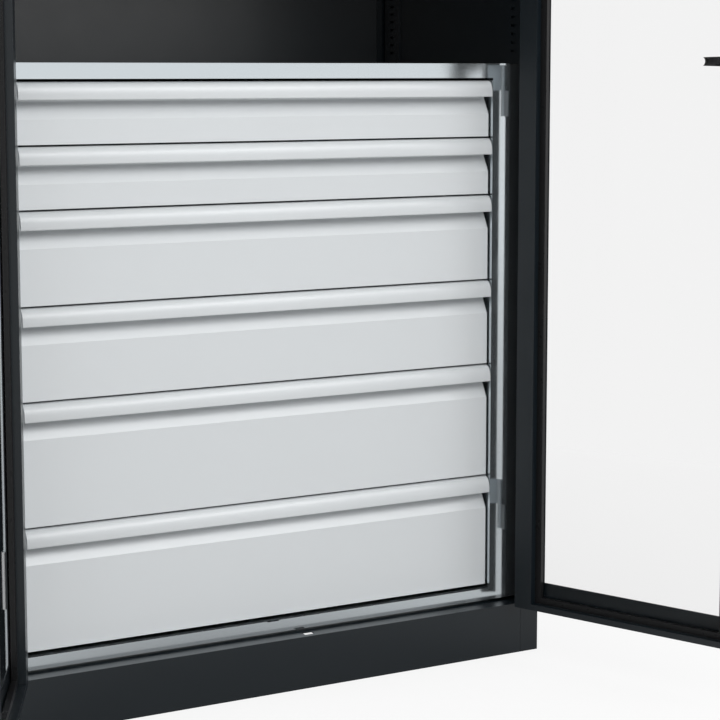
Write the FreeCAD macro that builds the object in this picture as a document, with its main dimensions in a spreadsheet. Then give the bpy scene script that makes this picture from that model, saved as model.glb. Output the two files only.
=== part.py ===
import FreeCAD, Part
import os
import re
import Sketcher

# Steel tool cabinet with two hinged window doors and a housing of six drawers.
# Millimetres, +Z up, +X to the right of a person in front, +Y to the back.
# The origin is on the floor, in the middle of the cabinet's footprint.
# Outlines count front to back from the posts' front face, and each piece is then moved by half the depth.
# The doors stand open at rest and the drawers are shut.

DRIVING_SIZES = [
    ("cabinet_width", 1024, "outside, across the two side walls"),
    ("cabinet_depth", 560, "outside, from the posts' front face to the back"),
    ("cabinet_height", 1950, "outside, floor to top"),
    ("carcass_gauge", 1.5, "sheet of the carcass"),
    ("post_width", 36, "front face of each folded post"),
    ("post_return", 14, "fold behind each post's inner edge"),
    ("back_flange", 20, "fold of each side wall along the back"),
    ("plinth_height", 90, "floor to the top face of the floor panel"),
    ("plinth_return", 25, "fold under the plinth skirt"),
    ("seam_gap", 0.5, "open seam between a post and what stands beside it"),
    ("top_band", 40, "front band over the doors"),
    ("top_lip", 34, "fold behind the front band, which takes the upper rod"),
    ("drawer_setback", 43, "posts' front face to the flat of the drawer fronts"),
    ("frame_setback", 32, "posts' front face to the faces of the rails and fillers"),
    ("filler_width", 81, "filler, side wall to its inner edge"),
    ("filler_edge", 6.5, "fold along a filler's inner edge"),
    ("filler_return", 15, "fold along a filler's outer edge"),
    ("housing_length", 500, "drawer housing, front to back"),
    ("housing_gauge", 1.5, "sheet of the drawer housing"),
    ("housing_edge", 5, "filler's inner edge to the housing's inner face"),
    ("rail_gap", 4.5, "open joint under the bottom rail"),
    ("rail_bottom_height", 21, "front face of the bottom rail"),
    ("rail_top_height", 25, "front face of the top rail"),
    ("rail_flange", 12.5, "fold behind each rail"),
    ("notch_width", 22, "notch in the middle of the bottom rail's bend"),
    ("notch_depth", 6, "the same notch, front to back"),
    ("stack_foot", 5.7, "bottom rail to the lowest drawer front"),
    ("stack_head", 1.3, "topmost pitch line to the top rail"),
    ("pitch_low", 100, "pitch of the two upper drawers"),
    ("pitch_middle", 150, "pitch of the two middle drawers"),
    ("pitch_tall", 200, "pitch of the two lower drawers"),
    ("front_gap", 3, "open joint over each drawer front"),
    ("front_side_gap", 2, "drawer front to the filler beside it"),
    ("front_gauge", 1.5, "sheet of the drawer fronts"),
    ("front_depth", 20, "flat of a front to the tray behind it"),
    ("grip_gauge", 2.4, "wall of the grip profile"),
    ("grip_start", 1, "where the grip's roll starts, behind the flat"),
    ("grip_turn", 50, "how far the small roll bends, in degrees"),
    ("roll_small", 10, "radius of the upper roll"),
    ("roll_large", 25, "radius of the lower roll"),
    ("grip_lip", 7, "straight end of the lip"),
    ("grip_leg", 28, "back leg of the grip, down the front's upright"),
    ("recess_depth", 15, "recess under the grip, behind the flat"),
    ("recess_level", 31, "top of the front to the top of the slope"),
    ("recess_height", 27, "height of the slope"),
    ("tray_gauge", 1.2, "sheet of the trays"),
    ("tray_foot", 10, "pitch line to the tray's underside"),
    ("tray_head", 22, "tray's rim to the pitch line above"),
    ("tray_length", 470, "tray, front to back"),
    ("tray_rim", 6, "fold along the tops of the tray's walls"),
    ("runner_space", 22.5, "housing side to tray, where the runner is"),
    ("runner_height", 34, "fixed rail of a runner"),
    ("runner_gauge", 1.5, "sheet of the runner rails"),
    ("runner_reach", 13, "fixed rail, depth of its channel"),
    ("runner_clearance", 0.4, "play between the rails of a runner"),
    ("runner_step", 5.5, "one rail's web to the next one's"),
    ("runner_lift", 30, "pitch line to the runner's middle"),
    ("runner_length", 460, "each rail of a runner"),
    ("runner_start", 30, "flat of the fronts to the runner's front end"),
    ("drawer_travel", 440, "how far a drawer pulls out"),
    ("shelf_rail_width", 54, "perforated rail on the side wall"),
    ("shelf_rail_stand", 4.5, "rail's face ahead of the side wall"),
    ("shelf_rail_inset_back", 8, "back panel to the rear rails"),
    ("shelf_rail_inset_front", 60, "posts' front face to the front rails"),
    ("slot_pitch", 15, "slot to slot up a rail"),
    ("slot_width", 14, "slot, front to back"),
    ("slot_height", 4.5, "slot, up and down"),
    ("slot_first", 20, "foot of a rail to its first slot"),
    ("shelf_gauge", 1.2, "sheet of the shelves"),
    ("shelf_edge", 28, "fold along a shelf's front and back"),
    ("shelf_side_gap", 1.5, "shelf to the rails"),
    ("shelf_front_inset", 68, "posts' front face to the shelves' front edge"),
    ("shelf_lower_slot", 18, "slot that carries the lower shelf"),
    ("shelf_upper_slot", 37, "slot that carries the upper shelf"),
    ("clip_length", 12, "shelf clip, along the rail's face"),
    ("clip_reach", 14, "clip's shelf seat, from the rail inwards"),
    ("clip_height", 9, "clip's foot under its seat"),
    ("door_thickness", 26, "each door"),
    ("door_gauge", 1.5, "sheet of the door skins"),
    ("door_side_gap", 2, "door to post"),
    ("door_end_gap", 2, "door to floor panel and to top band"),
    ("door_meeting_gap", 3, "between the two doors, shut"),
    ("door_angle", 113.6, "how far the doors stand open, in degrees"),
    ("hinge_stile", 34, "inner flange at the hinge side"),
    ("lock_stile", 68, "inner flange at the free side"),
    ("end_flange", 10.3, "inner flange at a door's top and bottom"),
    ("hem_depth", 13, "fold at the inner flanges' edges"),
    ("bead_width", 12, "glazing bead along the stiles"),
    ("bead_end_width", 10.8, "glazing bead along top and bottom"),
    ("window_border", 46, "door edge to window at top and bottom"),
    ("pane_gauge", 3, "clear pane"),
    ("pane_play", 2, "pane's edge to the bead's outer edge"),
    ("meeting_cover", 12, "strip's reach over each door's edge"),
    ("meeting_play", 0.5, "strip to the other door, shut"),
    ("pivot_forward", 7, "hinge axis ahead of the posts' front face"),
    ("pivot_outward", 1, "hinge axis beyond a post's inner edge"),
    ("knuckle_diameter", 10, "hinge barrel"),
    ("pin_diameter", 6, "hinge pin"),
    ("pin_clearance", 0.05, "running play round the pin"),
    ("hinge_height", 90, "both halves of a hinge"),
    ("hinge_play", 0.4, "between the two halves of a hinge"),
    ("hinge_inset", 165, "door's end to the middle of the first hinge"),
    ("leaf_door_reach", 29, "hinge leaf on a door's edge, from the axis"),
    ("leaf_post_reach", 10, "hinge leaf on a post's return, behind the post's front face"),
    ("leaf_gauge", 1.5, "hinge leaf"),
    ("rod_offset", 58, "middle of the cabinet to the rods"),
    ("rod_setback", 16.3, "posts' front face to the rods' axis"),
    ("rod_diameter", 10, "lock rods"),
    ("rod_play", 0.5, "round a rod where it is guided"),
    ("rod_travel", 22, "how far a rod shoots"),
    ("rod_hide", 3, "rod's end behind the door's edge, drawn back"),
    ("strike_length", 18, "rod slot in floor and top lip, along X"),
    ("strike_width", 13, "the same slot, front to back"),
    ("lock_level", 1050, "floor to the handle's axis"),
    ("lock_height", 120, "lock case"),
    ("lock_width", 46, "lock case, along the door"),
    ("lock_wall", 2, "cover of the lock case"),
    ("guide_length", 20, "each rod guide"),
    ("guide_width", 17, "the same, along the door"),
    ("spindle_diameter", 9, "spindle of the handle"),
    ("spindle_play", 0.1, "round the spindle"),
    ("handle_length", 115, "lever, from its axis"),
    ("handle_width", 20, "lever at its root"),
    ("handle_tip_width", 14, "lever at its tip"),
    ("handle_stand", 22, "lever's back ahead of the door's face"),
    ("handle_gauge", 9, "lever's thickness"),
    ("boss_diameter", 32, "round foot of the lever"),
    ("bearer_width", 60, "bearer under the floor panel, its foot"),
    ("bearer_wing", 15, "its folds against the floor panel"),
    ("bearer_inset", 40, "its ends to the cabinet's front and back"),
    ("floor_hole", 5, "small round hole at each end of the floor lip"),
    ("floor_hole_inset", 19, "that hole to the post's inner edge"),
    ("floor_hole_setback", 7, "that hole behind the plinth's face"),
]

# Places that several pieces share, worked out from the driving sizes.
SHARED_PLACES = {
    "half_width": "(cabinet_width / 2)",
    "wall_inside": "(cabinet_width / 2 - carcass_gauge)",
    "post_inside": "(cabinet_width / 2 - post_width)",
    "between_posts": "(cabinet_width / 2 - post_width - seam_gap)",
    "back_inside": "(cabinet_depth - carcass_gauge)",
    "filler_inner": "(wall_inside - filler_width)",
    "housing_inside": "(filler_inner + housing_edge)",
    "housing_half": "(housing_inside + housing_gauge)",
    "housing_back_end": "(drawer_setback + housing_length)",
    "frame_back": "(frame_setback + housing_gauge)",
    "rail_bottom_low": "(plinth_height + rail_gap)",
    "rail_bottom_top": "(rail_bottom_low + rail_bottom_height)",
    "stack_bottom": "(rail_bottom_top + stack_foot)",
    "stack_height": "(2 * pitch_low + 2 * pitch_middle + 2 * pitch_tall)",
    "rail_top_bottom": "(stack_bottom + stack_height + stack_head)",
    "housing_top_level": "(rail_top_bottom + rail_top_height)",
    "front_half": "(filler_inner - front_side_gap)",
    "tray_half": "(housing_inside - runner_space)",
    "tray_front_end": "(drawer_setback + front_depth)",
    "runner_front_end": "(drawer_setback + runner_start)",
    "runner_back_end": "(drawer_setback + runner_start + runner_length)",
    "roll_start": "(drawer_setback + grip_start)",
    "turn_place": "(roll_start - roll_small * sin(grip_turn))",
    "turn_drop": "(roll_small * (1 - cos(grip_turn)))",
    "lip_place": "(turn_place - roll_large * (1 - sin(grip_turn)))",
    "lip_drop": "(turn_drop + roll_large * cos(grip_turn))",
    "shelf_rail_face": "(wall_inside - shelf_rail_stand)",
    "shelf_rail_length": "(cabinet_height - carcass_gauge - housing_top_level)",
    "slot_count": "(floor((shelf_rail_length - 2 * slot_first) / slot_pitch) + 1)",
    "pivot_place": "(post_inside + pivot_outward)",
    "door_hinge_edge": "(pivot_outward + door_side_gap)",
    "door_free_edge": "(pivot_place - door_meeting_gap / 2)",
    "door_bottom": "(plinth_height + door_end_gap)",
    "door_top": "(cabinet_height - top_band - door_end_gap)",
    "door_outside": "pivot_forward",
    "door_inside": "(pivot_forward + door_thickness)",
    "hem_level": "(door_inside - hem_depth)",
    "rod_place": "(pivot_place - rod_offset)",
    "rod_depth": "(rod_setback + pivot_forward)",
    "lock_axis": "(pivot_place - rod_offset + lock_width / 2)",
    "lock_case_low": "(lock_level - lock_height / 2)",
    "lock_case_high": "(lock_level + lock_height / 2)",
}

FACING = {"X": "YZ_Plane", "Y": "XZ_Plane", "Z": "XY_Plane"}
LEFT, RIGHT = -1, 1
SIDE_NAMES = {LEFT: "left", RIGHT: "right"}

doc = FreeCAD.newDocument("tool_cabinet")
sheet = doc.addObject("Spreadsheet::Sheet", "sizes")
for row, (word, amount, note) in enumerate(DRIVING_SIZES, start=1):
    sheet.set(f"A{row}", note)
    sheet.set(f"B{row}", str(amount))
    sheet.setAlias(f"B{row}", word)
doc.recompute()

DRIVING_WORDS = {word for word, amount, note in DRIVING_SIZES}
pieces = []


def bound(text):
    """Turn a formula in plain words into one that names the sheet's cells."""
    def swap(match):
        word = match.group(0)
        if word in SHARED_PLACES:
            return bound(SHARED_PLACES[word])
        return f"sizes.{word}" if word in DRIVING_WORDS else word
    return re.sub(r"[a-z][a-z_]*[a-z]", swap, str(text))


def number(text):
    """The formula's present value."""
    return float(sheet.evalExpression(bound(text)))


def bind(thing, setting, text):
    thing.setExpression(setting, bound(text))


def new_piece(label, several=False):
    """A body of its own for one piece, or for a set of like pieces."""
    body = doc.addObject("PartDesign::Body", label)
    body.Label = label
    body.AllowCompound = several
    bind(body, "Placement.Base.y", "-cabinet_depth / 2")
    pieces.append(body)
    return body


def hang_on_pivot(body, side):
    """Seat a door piece, drawn round its hinge axis, on the open door."""
    body.Placement.Rotation = FreeCAD.Rotation(FreeCAD.Vector(0, 0, side), number("door_angle"))
    bind(body, "Placement.Rotation.Angle", "door_angle")
    bind(body, "Placement.Base.x", f"{side} * pivot_place")
    bind(body, "Placement.Base.y", "-cabinet_depth / 2 - pivot_forward")
    return body


def sketch_on(body, name, axis, place):
    """An empty sketch square to the axis, at a place along it."""
    sketch = body.newObject("Sketcher::SketchObject", name)
    plane = next(part for part in body.Origin.OriginFeatures if part.Role == FACING[axis])
    sketch.AttachmentSupport = [(plane, "")]
    sketch.MapMode = "FlatFace"
    bind(sketch, "AttachmentOffset.Base.z", f"-({place})" if axis == "Y" else place)
    return sketch


def draw_outline(sketch, corners):
    """A closed line whose corners are tied to the sheet.

    A corner is (across, up), or (across, up, radius) where the stretch that follows it is an arc.
    The arc bulges to the left of its direction when its radius is negative.
    """
    first = sketch.GeometryCount
    spots = [FreeCAD.Vector(number(corner[0]), number(corner[1]), 0) for corner in corners]
    ends = []
    ties = []
    for index, corner in enumerate(corners):
        start = spots[index]
        finish = spots[(index + 1) % len(corners)]
        if len(corner) == 2:
            sketch.addGeometry(Part.LineSegment(start, finish), False)
            ends.append((1, 2))
            continue
        radius = number(corner[2])
        chord = finish - start
        rise = abs(radius) - (radius ** 2 - chord.Length ** 2 / 4) ** 0.5
        square = FreeCAD.Vector(chord.y, -chord.x, 0).normalize()
        top = (start + finish) * 0.5 + square * (rise if radius > 0 else -rise)
        circle = Part.Arc(start, top, finish)
        sketch.addGeometry(circle, False)
        begins = sketch.getPoint(first + index, 1)
        forward = (begins - start).Length < (begins - finish).Length
        ends.append((1, 2) if forward else (2, 1))
        ties.append((Sketcher.Constraint("Radius", first + index, abs(radius)), f"abs({corner[2]})"))
    for index, corner in enumerate(corners):
        after = (index + 1) % len(corners)
        meeting = (first + index, ends[index][1], first + after, ends[after][0])
        ties.append((Sketcher.Constraint("Coincident", *meeting), None))
        here = (first + index, ends[index][0])
        ties.append((Sketcher.Constraint("DistanceX", -1, 1, *here, spots[index].x), corner[0]))
        ties.append((Sketcher.Constraint("DistanceY", -1, 1, *here, spots[index].y), corner[1]))
    numbers = sketch.addConstraint([constraint for constraint, text in ties])
    for place, (constraint, text) in zip(numbers, ties):
        if text is not None:
            bind(sketch, f"Constraints[{place}]", text)


def draw_ring(sketch, across, up, diameter):
    """A circle tied to the sheet."""
    place = sketch.GeometryCount
    middle = FreeCAD.Vector(number(across), number(up), 0)
    size = number(diameter)
    sketch.addGeometry(Part.Circle(middle, FreeCAD.Vector(0, 0, 1), size / 2), False)
    ties = [
        (Sketcher.Constraint("Diameter", place, size), diameter),
        (Sketcher.Constraint("DistanceX", -1, 1, place, 3, middle.x), across),
        (Sketcher.Constraint("DistanceY", -1, 1, place, 3, middle.y), up),
    ]
    numbers = sketch.addConstraint([constraint for constraint, text in ties])
    for index, (constraint, text) in zip(numbers, ties):
        bind(sketch, f"Constraints[{index}]", text)


def rectangle(low_across, low_up, high_across, high_up):
    return [
        (low_across, low_up),
        (high_across, low_up),
        (high_across, high_up),
        (low_across, high_up),
    ]


def sided(side, corners):
    """The same outline for the left or the right: numbers across, and the way arcs bulge, change sign."""
    mirrored = []
    for corner in corners:
        bulge = [f"{side} * ({radius})" for radius in corner[2:]]
        mirrored.append((f"{side} * ({corner[0]})", corner[1], *bulge))
    return mirrored


def reach(side, inner, outer):
    """Lowest and highest place, on one side of the middle, between two distances from it."""
    if side == RIGHT:
        return inner, outer
    return f"-({outer})", f"-({inner})"


def grow(body, name, axis, outlines, low, high):
    """Add the prism over the outlines between two places along the axis."""
    sketch = sketch_on(body, f"{name}_sketch", axis, high if axis == "Y" else low)
    for outline in outlines:
        draw_outline(sketch, outline)
    return pad_of(body, name, sketch, low, high)


def grow_round(body, name, axis, rings, low, high):
    """Add the cylinder, or tube, over the circles."""
    sketch = sketch_on(body, f"{name}_sketch", axis, high if axis == "Y" else low)
    for ring in rings:
        draw_ring(sketch, *ring)
    return pad_of(body, name, sketch, low, high)


def pad_of(body, name, sketch, low, high):
    pad = body.newObject("PartDesign::Pad", name)
    pad.Profile = sketch
    bind(pad, "Length", f"({high}) - ({low})")
    sketch.Visibility = False
    return pad


def cut(body, name, axis, outlines, low, high):
    """Take the prism over the outlines away between two places along the axis."""
    sketch = sketch_on(body, f"{name}_sketch", axis, low if axis == "Y" else high)
    for outline in outlines:
        draw_outline(sketch, outline)
    return pocket_of(body, name, sketch, low, high)


def cut_round(body, name, axis, rings, low, high):
    """Take cylinders away."""
    sketch = sketch_on(body, f"{name}_sketch", axis, low if axis == "Y" else high)
    for ring in rings:
        draw_ring(sketch, *ring)
    return pocket_of(body, name, sketch, low, high)


def pocket_of(body, name, sketch, low, high):
    pocket = body.newObject("PartDesign::Pocket", name)
    pocket.Profile = sketch
    bind(pocket, "Length", f"({high}) - ({low})")
    sketch.Visibility = False
    return pocket


def repeat(body, feature, role, step, count):
    """Repeat a feature in a row along one of the body's axes."""
    row = body.newObject("PartDesign::LinearPattern", f"{feature.Name}_row")
    row.Originals = [feature]
    axis = next(part for part in body.Origin.OriginFeatures if part.Role == role)
    row.Direction = (axis, [""])
    bind(row, "Length", f"({step}) * (({count}) - 1)")
    bind(row, "Occurrences", count)
    body.Tip = row
    return row


# Carcass

def build_side(side):
    """Side wall, with the post folded along its front and a flange along its back."""
    body = new_piece(f"side_{SIDE_NAMES[side]}")
    wall = "half_width - carcass_gauge"
    grow(body, "wall", "Z", [sided(side, [
        ("half_width", "0"),
        ("half_width", "back_inside"),
        ("wall_inside - back_flange", "back_inside"),
        ("wall_inside - back_flange", "back_inside - carcass_gauge"),
        (wall, "back_inside - carcass_gauge"),
        (wall, "carcass_gauge"),
        ("post_inside + carcass_gauge", "carcass_gauge"),
        ("post_inside + carcass_gauge", "post_return"),
        ("post_inside", "post_return"),
        ("post_inside", "0"),
    ])], "0", "cabinet_height")


def build_back():
    body = new_piece("back_panel")
    sheet_outline = rectangle("-wall_inside", "0", "wall_inside", "cabinet_height - carcass_gauge")
    grow(body, "sheet", "Y", [sheet_outline], "back_inside", "cabinet_depth")
    cover = rectangle("-half_width", "0", "-wall_inside", "cabinet_height")
    grow(body, "left_edge", "Y", [cover], "back_inside", "cabinet_depth")
    grow(body, "right_edge", "Y", [sided(-1, cover)], "back_inside", "cabinet_depth")


def build_top():
    """Top sheet, with the front band, the lip behind it and the slot that takes the upper rod."""
    body = new_piece("top_panel")
    band_foot = "cabinet_height - top_band"
    sheet_level = "cabinet_height - carcass_gauge"
    grow(body, "sheet", "Z", [[
        ("-between_posts", "0"),
        ("between_posts", "0"),
        ("between_posts", "post_return + seam_gap"),
        ("wall_inside", "post_return + seam_gap"),
        ("wall_inside", "back_inside - carcass_gauge"),
        ("wall_inside - back_flange", "back_inside - carcass_gauge"),
        ("wall_inside - back_flange", "back_inside"),
        ("back_flange - wall_inside", "back_inside"),
        ("back_flange - wall_inside", "back_inside - carcass_gauge"),
        ("-wall_inside", "back_inside - carcass_gauge"),
        ("-wall_inside", "post_return + seam_gap"),
        ("-between_posts", "post_return + seam_gap"),
    ]], sheet_level, "cabinet_height")
    grow(body, "band", "X", [[
        ("0", sheet_level),
        ("0", band_foot),
        ("top_lip", band_foot),
        ("top_lip", f"{band_foot} + post_return"),
        ("top_lip - carcass_gauge", f"{band_foot} + post_return"),
        ("top_lip - carcass_gauge", f"{band_foot} + carcass_gauge"),
        ("carcass_gauge", f"{band_foot} + carcass_gauge"),
        ("carcass_gauge", sheet_level),
    ]], "-between_posts", "between_posts")
    cut(body, "rod_slot", "Z", [strike_outline()], band_foot, f"{band_foot} + carcass_gauge")


def strike_outline():
    """Slot for a lock rod, seen from above."""
    return rectangle(
        "rod_offset - strike_length / 2",
        "rod_setback - strike_width / 2",
        "rod_offset + strike_length / 2",
        "rod_setback + strike_width / 2",
    )


def build_floor():
    """Floor panel, whose front folds down into the plinth skirt."""
    body = new_piece("floor_panel")
    underside = "plinth_height - carcass_gauge"
    grow(body, "sheet", "Z", [[
        ("-between_posts", "0"),
        ("between_posts", "0"),
        ("between_posts", "post_return + seam_gap"),
        ("wall_inside", "post_return + seam_gap"),
        ("wall_inside", "back_inside - carcass_gauge"),
        ("-wall_inside", "back_inside - carcass_gauge"),
        ("-wall_inside", "post_return + seam_gap"),
        ("-between_posts", "post_return + seam_gap"),
    ]], underside, "plinth_height")
    grow(body, "skirt", "X", [[
        ("0", underside),
        ("0", "0"),
        ("plinth_return", "0"),
        ("plinth_return", "carcass_gauge"),
        ("carcass_gauge", "carcass_gauge"),
        ("carcass_gauge", underside),
    ]], "-between_posts", "between_posts")
    cut(body, "rod_slot", "Z", [strike_outline()], underside, "plinth_height")
    spot = "post_inside - floor_hole_inset"
    cut_round(body, "small_holes", "Z", [
        (spot, "floor_hole_setback", "floor_hole"),
        (f"-({spot})", "floor_hole_setback", "floor_hole"),
    ], underside, "plinth_height")


def build_floor_bearer():
    """Hat-shaped bearer from front to back under the floor panel. The cabinet's middle rests on it."""
    body = new_piece("floor_bearer")
    foot = "(bearer_width / 2)"
    wing = "(bearer_width / 2 + bearer_wing)"
    head = "(plinth_height - carcass_gauge)"
    inside = f"({foot} - carcass_gauge)"
    grow(body, "hat", "Y", [[
        (f"-{foot}", "0"),
        (foot, "0"),
        (foot, f"{head} - carcass_gauge"),
        (wing, f"{head} - carcass_gauge"),
        (wing, head),
        (inside, head),
        (inside, "carcass_gauge"),
        (f"-{inside}", "carcass_gauge"),
        (f"-{inside}", head),
        (f"-{wing}", head),
        (f"-{wing}", f"{head} - carcass_gauge"),
        (f"-{foot}", f"{head} - carcass_gauge"),
    ]], "bearer_inset", "cabinet_depth - bearer_inset")


# Shelf rails and shelves

def rail_low(place):
    """Where a shelf rail starts, front to back."""
    if place == "front":
        return "shelf_rail_inset_front"
    return "(back_inside - shelf_rail_inset_back - shelf_rail_width)"


def build_shelf_rails():
    """Four shallow channels on the side walls, with a row of slots up each face."""
    body = new_piece("shelf_rails", several=True)
    for place in ("front", "back"):
        for side in (LEFT, RIGHT):
            low = rail_low(place)
            grow(body, f"channel_{place}_{SIDE_NAMES[side]}", "Z", [sided(side, [
                ("wall_inside", low),
                ("shelf_rail_face", low),
                ("shelf_rail_face", f"{low} + shelf_rail_width"),
                ("wall_inside", f"{low} + shelf_rail_width"),
                ("wall_inside", f"{low} + shelf_rail_width - carcass_gauge"),
                ("shelf_rail_face + carcass_gauge", f"{low} + shelf_rail_width - carcass_gauge"),
                ("shelf_rail_face + carcass_gauge", f"{low} + carcass_gauge"),
                ("wall_inside", f"{low} + carcass_gauge"),
            ])], "housing_top_level", "cabinet_height - carcass_gauge")
    foot = "housing_top_level + slot_first"
    middles = [f"{rail_low(place)} + shelf_rail_width / 2" for place in ("front", "back")]
    slots = [
        rectangle(f"{middle} - slot_width / 2", foot, f"{middle} + slot_width / 2", f"{foot} + slot_height")
        for middle in middles
    ]
    for side in (LEFT, RIGHT):
        low, high = reach(side, "shelf_rail_face", "shelf_rail_face + carcass_gauge")
        first = cut(body, f"slots_{SIDE_NAMES[side]}", "X", slots, low, high)
        repeat(body, first, "Z_Axis", "slot_pitch", "slot_count")


def slot_level(slot_word):
    """Lower edge of the slot with the given number."""
    return f"(housing_top_level + slot_first + {slot_word} * slot_pitch)"


def shelf_underside(slot_word):
    return f"({slot_level(slot_word)} + slot_height + carcass_gauge)"


def build_shelf(name, slot_word):
    """Flat tray-like shelf with folded front and back edges."""
    body = new_piece(name)
    low = shelf_underside(slot_word)
    back = "back_inside - shelf_rail_inset_back"
    half = "shelf_rail_face - shelf_side_gap"
    grow(body, "tread", "X", [[
        ("shelf_front_inset", f"{low} - shelf_edge"),
        ("shelf_front_inset", f"{low} + shelf_gauge"),
        (back, f"{low} + shelf_gauge"),
        (back, f"{low} - shelf_edge"),
        (f"{back} - shelf_gauge", f"{low} - shelf_edge"),
        (f"{back} - shelf_gauge", low),
        ("shelf_front_inset + shelf_gauge", low),
        ("shelf_front_inset + shelf_gauge", f"{low} - shelf_edge"),
    ]], f"-({half})", half)


def build_clips():
    """Eight clips: a tongue in a rail's slot and a seat under the shelf."""
    body = new_piece("shelf_clips", several=True)
    for slot_word in ("shelf_lower_slot", "shelf_upper_slot"):
        for place in ("front", "back"):
            for side in (LEFT, RIGHT):
                low = slot_level(slot_word)
                seat = shelf_underside(slot_word)
                middle = f"{rail_low(place)} + shelf_rail_width / 2"
                grow(body, f"clip_{slot_word}_{place}_{SIDE_NAMES[side]}", "Y", [sided(side, [
                    ("shelf_rail_face + carcass_gauge", low),
                    ("shelf_rail_face + carcass_gauge", f"{low} + slot_height - runner_clearance"),
                    ("shelf_rail_face", f"{low} + slot_height - runner_clearance"),
                    ("shelf_rail_face", seat),
                    ("shelf_rail_face - clip_reach", seat),
                    ("shelf_rail_face - clip_reach", f"{seat} - carcass_gauge"),
                    ("shelf_rail_face - carcass_gauge", f"{low} - clip_height"),
                    ("shelf_rail_face", f"{low} - clip_height"),
                    ("shelf_rail_face", low),
                ])], f"{middle} - clip_length / 2", f"{middle} + clip_length / 2")


# Drawer housing

def build_housing_side(side):
    """Upright side of the drawer housing, which stands against the back of the face frame."""
    body = new_piece(f"housing_side_{SIDE_NAMES[side]}")
    behind_rail = "frame_back + rail_flange"
    for name, front, low, high in (
        ("wall", "frame_back", "rail_bottom_top", "rail_top_bottom"),
        ("foot", behind_rail, "plinth_height", "rail_bottom_top"),
        ("head", behind_rail, "rail_top_bottom", "housing_top_level - housing_gauge"),
    ):
        grow(body, name, "Z", [sided(side, rectangle(
            "housing_inside", front, "housing_half", "housing_back_end",
        ))], low, high)


def build_housing_cover():
    """Cover over the housing and the fillers: the floor of the compartment above."""
    body = new_piece("housing_cover")
    grow(body, "sheet", "Z", [rectangle(
        "-wall_inside", "frame_back", "wall_inside", "back_inside - carcass_gauge",
    )], "housing_top_level - housing_gauge", "housing_top_level")


def build_housing_floor():
    body = new_piece("housing_floor")
    grow(body, "sheet", "Z", [rectangle(
        "-housing_inside", "frame_back + rail_flange", "housing_inside", "housing_back_end",
    )], "plinth_height", "plinth_height + housing_gauge")


def build_rail(name, face_low, face_high, fold_low, fold_high):
    """Front rail across the cabinet: a face, and a fold behind it."""
    body = new_piece(name)
    grow(body, "face", "X", [rectangle("frame_setback", face_low, "frame_back", face_high)],
         "-wall_inside", "wall_inside")
    grow(body, "fold", "Z", [rectangle(
        "-wall_inside", "frame_setback", "wall_inside", "frame_setback + rail_flange",
    )], fold_low, fold_high)
    return body


def build_rails():
    build_rail("rail_top", "rail_top_bottom", "housing_top_level",
               "rail_top_bottom", "rail_top_bottom + housing_gauge")
    bottom = build_rail("rail_bottom", "rail_bottom_low", "rail_bottom_top",
                        "rail_bottom_top - housing_gauge", "rail_bottom_top")
    cut(bottom, "notch", "Z", [rectangle(
        "-notch_width / 2", "frame_setback", "notch_width / 2", "frame_setback + notch_depth",
    )], "rail_bottom_top - housing_gauge", "rail_bottom_top")


def build_filler(side):
    """Upright of the face frame, between the drawers and the side wall, folded back along both edges."""
    body = new_piece(f"filler_{SIDE_NAMES[side]}")
    grow(body, "channel", "Z", [sided(side, [
        ("filler_inner", "frame_setback"),
        ("wall_inside", "frame_setback"),
        ("wall_inside", "frame_setback + filler_return"),
        ("wall_inside - housing_gauge", "frame_setback + filler_return"),
        ("wall_inside - housing_gauge", "frame_back"),
        ("filler_inner + housing_gauge", "frame_back"),
        ("filler_inner + housing_gauge", "frame_setback + filler_edge"),
        ("filler_inner", "frame_setback + filler_edge"),
    ])], "rail_bottom_top", "rail_top_bottom")


# Drawers, numbered from the top

PITCHES = ["pitch_low", "pitch_low", "pitch_middle", "pitch_middle", "pitch_tall", "pitch_tall"]


def pitch_line(index):
    """Lower end of a drawer's space."""
    return "(" + " + ".join(["stack_bottom"] + PITCHES[index + 1:]) + ")"


def runner_level(index):
    return f"({pitch_line(index)} + runner_lift)"


def channel(side, wall, reach_in, height, level):
    """C-section of a runner rail, open towards the tray. Distances run from the housing's inner face."""
    low = f"{level} - ({height}) / 2"
    high = f"{level} + ({height}) / 2"
    near = f"housing_inside - ({wall})"
    web = f"{near} - runner_gauge"
    tip = f"housing_inside - ({reach_in})"
    return sided(side, [
        (near, low),
        (near, high),
        (tip, high),
        (tip, f"{high} - runner_gauge"),
        (web, f"{high} - runner_gauge"),
        (web, f"{low} + runner_gauge"),
        (tip, f"{low} + runner_gauge"),
        (tip, low),
    ])


MIDDLE_HEIGHT = "(runner_height - 2 * runner_gauge - 2 * runner_clearance)"
DRAWER_RAIL_HEIGHT = "(runner_height - 4 * runner_gauge - 4 * runner_clearance)"


def build_fixed_runners(side):
    body = new_piece(f"runner_rails_{SIDE_NAMES[side]}", several=True)
    for index in range(len(PITCHES)):
        outline = channel(side, "0", "runner_reach", "runner_height", runner_level(index))
        grow(body, f"rail_{index + 1}", "Y", [outline], "runner_front_end", "runner_back_end")


def build_middle_runners(index):
    body = new_piece(f"runner_middle_{index + 1}", several=True)
    for side in (LEFT, RIGHT):
        tip = "runner_reach + runner_step"
        outline = channel(side, "runner_step", tip, MIDDLE_HEIGHT, runner_level(index))
        grow(body, f"rail_{SIDE_NAMES[side]}", "Y", [outline], "runner_front_end", "runner_back_end")


def front_levels(index):
    """Lower and upper edge of a drawer front."""
    foot = pitch_line(index)
    return foot, f"({foot} + {PITCHES[index]} - front_gap)"


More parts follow.
